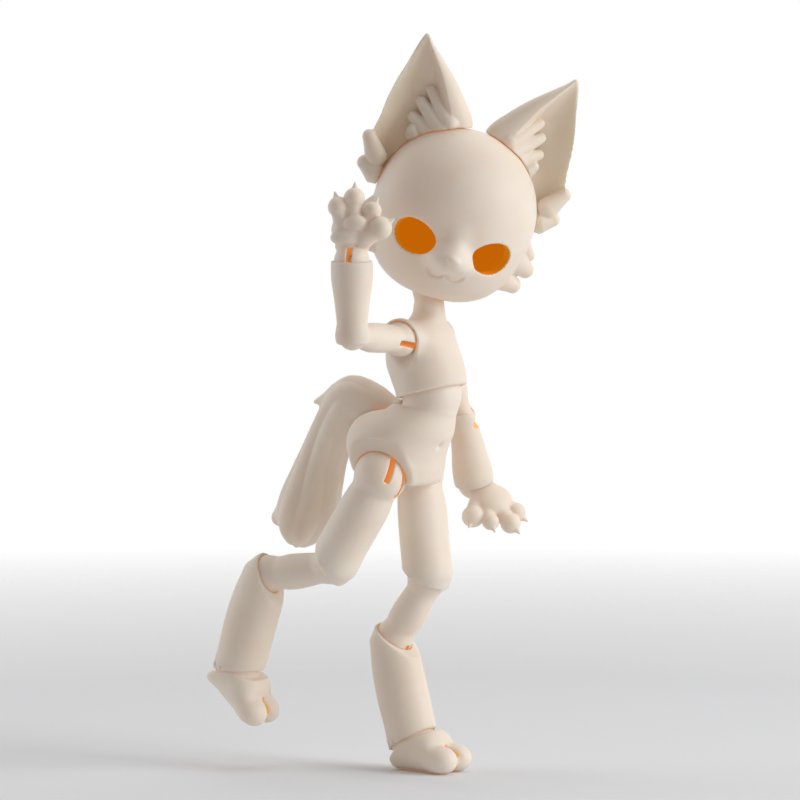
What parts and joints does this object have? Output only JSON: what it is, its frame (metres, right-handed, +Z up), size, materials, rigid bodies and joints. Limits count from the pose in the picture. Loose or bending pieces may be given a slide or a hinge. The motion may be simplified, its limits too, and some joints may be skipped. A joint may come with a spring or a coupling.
{
  "type": "ball jointed doll",
  "caption": "Standing ball jointed animal doll with pointed ears, digitigrade legs, paws and a bushy tail, strung so that it can be posed.",
  "frame": {"origin": "middle of the standing (left) foot sole, on the floor", "axes": "+Z up; the picture looks along +Y; the doll body faces 56 degrees from -Y towards +X"},
  "size_m": [0.1127, 0.0858, 0.2219],
  "materials": {
    "resin": "satin cast resin, unpainted",
    "elastic": "round covered elastic cord",
    "steel": "bent wire and small magnets"
  },
  "bodies": {
    "pelvis": {"pelvis": "resin", "pelvis_cord": "elastic"},
    "spine_link": {"spine_cord": "elastic"},
    "chest": {"chest": "resin"},
    "neck_link": {"neck_hook": "steel"},
    "head": {"head_face": "resin", "skull_magnet_right": "steel", "rim_magnet_right": "steel", "skull_magnet_left": "steel", "rim_magnet_left": "steel"},
    "tail_link": {"tail_hook": "steel"},
    "tail": {"tail": "resin"},
    "shoulder_link_right": {"shoulder_cord_right": "elastic"},
    "upper_arm_right": {"upper_arm_right": "resin", "upper_arm_cord_right": "elastic"},
    "forearm_right": {"forearm_right": "resin", "forearm_cord_right": "elastic"},
    "wrist_link_right": {"wrist_hook_right": "steel"},
    "hand_right": {"hand_right": "resin"},
    "hip_link_right": {"hip_cord_right": "elastic"},
    "thigh_right": {"thigh_right": "resin", "thigh_cord_right": "elastic"},
    "shin_right": {"shin_right": "resin", "shin_cord_right": "elastic"},
    "metatarsal_right": {"metatarsal_right": "resin", "metatarsal_cord_right": "elastic"},
    "ankle_link_right": {"ankle_hook_right": "steel"},
    "foot_right": {"foot_right": "resin"},
    "shoulder_link_left": {"shoulder_cord_left": "elastic"},
    "upper_arm_left": {"upper_arm_left": "resin", "upper_arm_cord_left": "elastic"},
    "forearm_left": {"forearm_left": "resin", "forearm_cord_left": "elastic"},
    "wrist_link_left": {"wrist_hook_left": "steel"},
    "hand_left": {"hand_left": "resin"},
    "hip_link_left": {"hip_cord_left": "elastic"},
    "thigh_left": {"thigh_left": "resin", "thigh_cord_left": "elastic"},
    "shin_left": {"shin_left": "resin", "shin_cord_left": "elastic"},
    "metatarsal_left": {"metatarsal_left": "resin", "metatarsal_cord_left": "elastic"},
    "ankle_link_left": {"ankle_hook_left": "steel"},
    "foot_left": {"foot_left": "resin"},
    "head_cap": {"head_cap": "resin", "cap_magnet_right": "steel", "cap_magnet_left": "steel"},
    "ear_right": {"ear_right": "resin", "ear_magnet_right": "steel"},
    "ear_left": {"ear_left": "resin", "ear_magnet_left": "steel"}
  },
  "joints": [
    {"name": "waist_bend", "type": "hinge", "parent": "pelvis", "child": "spine_link", "pos_m": [0.00066, -0.01251, 0.11522], "axis": [-0.5592, -0.829, 0], "range_deg": [-18, 2]},
    {"name": "waist_turn", "type": "hinge", "parent": "spine_link", "child": "chest", "pos_m": [0.00066, -0.01251, 0.11522], "axis": [0.0072, -0.0049, -1], "range_deg": [-12, 26]},
    {"name": "neck_nod", "type": "hinge", "parent": "chest", "child": "neck_link", "pos_m": [-0.0002, -0.01205, 0.14671], "axis": [0.4368, 0.8996, -0.0012], "range_deg": [-28, 4]},
    {"name": "neck_turn", "type": "hinge", "parent": "neck_link", "child": "head", "pos_m": [-0.0002, -0.01205, 0.14671], "axis": [0.3038, -0.1462, 0.9414], "range_deg": [-30, 100]},
    {"name": "shoulder_turn_right", "type": "hinge", "parent": "chest", "child": "shoulder_link_right", "pos_m": [-0.00875, -0.0217, 0.132], "axis": [0.4368, 0.8996, -0.0012], "range_deg": [-80, 80]},
    {"name": "shoulder_lift_right", "type": "hinge", "parent": "shoulder_link_right", "child": "upper_arm_right", "pos_m": [-0.00875, -0.0217, 0.132], "axis": [0.3448, -0.1662, 0.9238], "range_deg": [-20, 40]},
    {"name": "elbow_bend_right", "type": "hinge", "parent": "upper_arm_right", "child": "forearm_right", "pos_m": [-0.02275, -0.04476, 0.13307], "axis": [-0.8532, 0.5199, 0.0417], "range_deg": [-90, 6]},
    {"name": "wrist_turn_right", "type": "hinge", "parent": "forearm_right", "child": "wrist_link_right", "pos_m": [-0.02287, -0.04673, 0.15509], "axis": [0.0054, 0.0888, -0.996], "range_deg": [-60, 80]},
    {"name": "wrist_bend_right", "type": "hinge", "parent": "wrist_link_right", "child": "hand_right", "pos_m": [-0.02287, -0.04673, 0.15509], "axis": [0.9831, -0.1826, -0.011], "range_deg": [-46, 60]},
    {"name": "hip_turn_right", "type": "hinge", "parent": "pelvis", "child": "hip_link_right", "pos_m": [-0.0147, -0.01421, 0.09077], "axis": [-0.1766, 0.1191, -0.977], "range_deg": [-34, 20]},
    {"name": "hip_swing_right", "type": "hinge", "parent": "hip_link_right", "child": "thigh_right", "pos_m": [-0.0147, -0.01421, 0.09077], "axis": [-0.4624, -0.8863, -0.0245], "range_deg": [-12, 47]},
    {"name": "knee_bend_right", "type": "hinge", "parent": "thigh_right", "child": "shin_right", "pos_m": [-0.02939, -0.0058, 0.06362], "axis": [0.4624, 0.8863, 0.0245], "range_deg": [-42, 28]},
    {"name": "hock_bend_right", "type": "hinge", "parent": "shin_right", "child": "metatarsal_right", "pos_m": [-0.049, 0.00454, 0.05976], "axis": [0.4624, 0.8863, 0.0245], "range_deg": [-17, 42]},
    {"name": "ankle_turn_right", "type": "hinge", "parent": "metatarsal_right", "child": "ankle_link_right", "pos_m": [-0.05859, 0.01036, 0.03032], "axis": [0.3046, -0.1847, 0.9344], "range_deg": [-15, 15]},
    {"name": "ankle_bend_right", "type": "hinge", "parent": "ankle_link_right", "child": "foot_right", "pos_m": [-0.05859, 0.01036, 0.03032], "axis": [-0.4624, -0.8863, -0.0245], "range_deg": [-5, 8]},
    {"name": "shoulder_turn_left", "type": "hinge", "parent": "chest", "child": "shoulder_link_left", "pos_m": [0.00209, 0.00061, 0.13197], "axis": [0.4368, 0.8996, -0.0012], "range_deg": [-8, 18]},
    {"name": "shoulder_lift_left", "type": "hinge", "parent": "shoulder_link_left", "child": "upper_arm_left", "pos_m": [0.00209, 0.00061, 0.13197], "axis": [0.8893, -0.4316, 0.1512], "range_deg": [-2, 75]},
    {"name": "elbow_bend_left", "type": "hinge", "parent": "upper_arm_left", "child": "forearm_left", "pos_m": [0.01031, 0.00903, 0.10767], "axis": [0.0166, 0.943, 0.3324], "range_deg": [-90, 6]},
    {"name": "wrist_turn_left", "type": "hinge", "parent": "forearm_left", "child": "wrist_link_left", "pos_m": [0.01404, 0.01621, 0.0871], "axis": [0.1689, 0.3251, -0.9305], "range_deg": [-60, 80]},
    {"name": "wrist_bend_left", "type": "hinge", "parent": "wrist_link_left", "child": "hand_left", "pos_m": [0.01404, 0.01621, 0.0871], "axis": [-0.7434, -0.5778, -0.3368], "range_deg": [-100, 2]},
    {"name": "hip_turn_left", "type": "hinge", "parent": "pelvis", "child": "hip_link_left", "pos_m": [-0.00351, 0.00237, 0.09077], "axis": [-0.1766, 0.1191, -0.977], "range_deg": [-20, 35]},
    {"name": "hip_swing_left", "type": "hinge", "parent": "hip_link_left", "child": "thigh_left", "pos_m": [-0.00351, 0.00237, 0.09077], "axis": [0.5592, 0.829, 0], "range_deg": [-10, 28]},
    {"name": "knee_bend_left", "type": "hinge", "parent": "thigh_left", "child": "shin_left", "pos_m": [-0.00046, 0.00031, 0.05898], "axis": [-0.5592, -0.829, 0], "range_deg": [-36, 33]},
    {"name": "hock_bend_left", "type": "hinge", "parent": "shin_left", "child": "metatarsal_left", "pos_m": [-0.0106, 0.00715, 0.04009], "axis": [0.5592, 0.829, 0], "range_deg": [-31, 28]},
    {"name": "ankle_turn_left", "type": "hinge", "parent": "metatarsal_left", "child": "ankle_link_left", "pos_m": [-0.00508, 0.00343, 0.0093], "axis": [-0.1752, 0.1182, 0.9774], "range_deg": [-12, 12]},
    {"name": "ankle_bend_left", "type": "hinge", "parent": "ankle_link_left", "child": "foot_left", "pos_m": [-0.00508, 0.00343, 0.0093], "axis": [-0.5592, -0.829, 0], "range_deg": [-10, 3]},
    {"name": "tail_turn", "type": "hinge", "parent": "pelvis", "child": "tail_link", "pos_m": [-0.00902, -0.00598, 0.10958], "axis": [0.8223, -0.5547, -0.1271], "range_deg": [-12, 35]},
    {"name": "tail_lift", "type": "hinge", "parent": "tail_link", "child": "tail", "pos_m": [-0.00902, -0.00598, 0.10958], "axis": [0.5686, 0.7918, 0.2231], "range_deg": [-15, 27]},
    {"name": "cap_lift", "type": "slide", "parent": "head", "child": "head_cap", "axis": [-0.0965, 0.9783, 0.1831], "range_m": [0, 0.03]},
    {"name": "ear_pull_right", "type": "slide", "parent": "head", "child": "ear_right", "axis": [-0.4503, -0.109, 0.8862], "range_m": [0, 0.03]},
    {"name": "ear_pull_left", "type": "slide", "parent": "head", "child": "ear_left", "axis": [0.8647, 0.0942, 0.4934], "range_m": [0, 0.03]}
  ]
}
